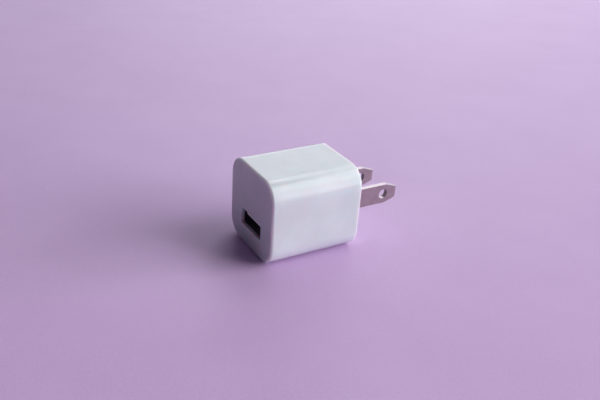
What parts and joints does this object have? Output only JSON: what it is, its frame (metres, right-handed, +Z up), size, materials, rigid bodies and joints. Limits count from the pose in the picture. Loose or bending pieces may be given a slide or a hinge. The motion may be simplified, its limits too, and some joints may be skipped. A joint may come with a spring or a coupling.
{
  "type": "usb wall charger",
  "caption": "Small white cube mains charger with two fixed flat blades on one face and a USB-A port in the opposite face.",
  "frame": {"origin": "middle of the outlet face, on its surface, halfway between the blades", "axes": "+X the way the blades point out of the case, +Z up as the charger lies with its port low, +Y across from the line blade to the neutral blade"},
  "size_m": [0.0482, 0.0268, 0.0268],
  "materials": {
    "case_plastic": "moulded white polycarbonate, glossy",
    "cap_plastic": "moulded white polycarbonate, fine satin",
    "blade_metal": "nickel-plated brass, satin",
    "strip_metal": "tinned",
    "rivet_metal": "tinned",
    "shell_metal": "nickel-plated steel sheet",
    "contact_metal": "gold flash",
    "tongue_plastic": "white glass-filled nylon",
    "board_laminate": "glass-epoxy board with solder mask",
    "ferrite": "sintered ferrite, matte",
    "bobbin_plastic": "phenolic",
    "winding_tape": "polyester tape over copper wire",
    "pin_metal": "tinned",
    "wire_insulation": "triple-insulated wire",
    "can_sleeve": "shrink sleeve",
    "can_metal": "bare aluminium can",
    "resistor_coat": "baked lacquer",
    "coil_copper": "enamelled copper",
    "disc_coat": "epoxy dip",
    "package_epoxy": "moulded epoxy",
    "chip_ceramic": "ceramic with tinned ends",
    "sheet_film": "polyester film"
  },
  "bodies": {
    "root": {"bulk_capacitor_1": "can_sleeve", "bulk_capacitor_2": "can_sleeve", "chip_capacitors": "chip_ceramic", "chip_resistors": "chip_ceramic", "control_ic": "package_epoxy", "core_lower": "ferrite", "core_upper": "ferrite", "end_cap": "cap_plastic", "fusible_resistor": "resistor_coat", "housing": "case_plastic", "inductor_coil": "coil_copper", "inductor_core": "ferrite", "input_board": "board_laminate", "insulating_sheet": "sheet_film", "line_blade": "blade_metal", "line_strip": "strip_metal", "neutral_blade": "blade_metal", "neutral_strip": "strip_metal", "output_board": "board_laminate", "output_capacitor_1": "can_metal", "output_capacitor_2": "can_metal", "output_diode": "package_epoxy", "port_resistors": "chip_ceramic", "power_transistor": "package_epoxy", "receptacle_contact_1": "contact_metal", "receptacle_contact_2": "contact_metal", "receptacle_contact_3": "contact_metal", "receptacle_contact_4": "contact_metal", "receptacle_insulator": "tongue_plastic", "receptacle_shell": "shell_metal", "rectifier_diode_1": "package_epoxy", "rectifier_diode_2": "package_epoxy", "rectifier_diode_3": "package_epoxy", "rectifier_diode_4": "package_epoxy", "safety_capacitor": "disc_coat", "secondary_leads": "wire_insulation", "strip_rivets": "rivet_metal", "transformer_bobbin": "bobbin_plastic", "transformer_pins": "pin_metal", "transformer_winding": "winding_tape"}
  },
  "joints": []
}
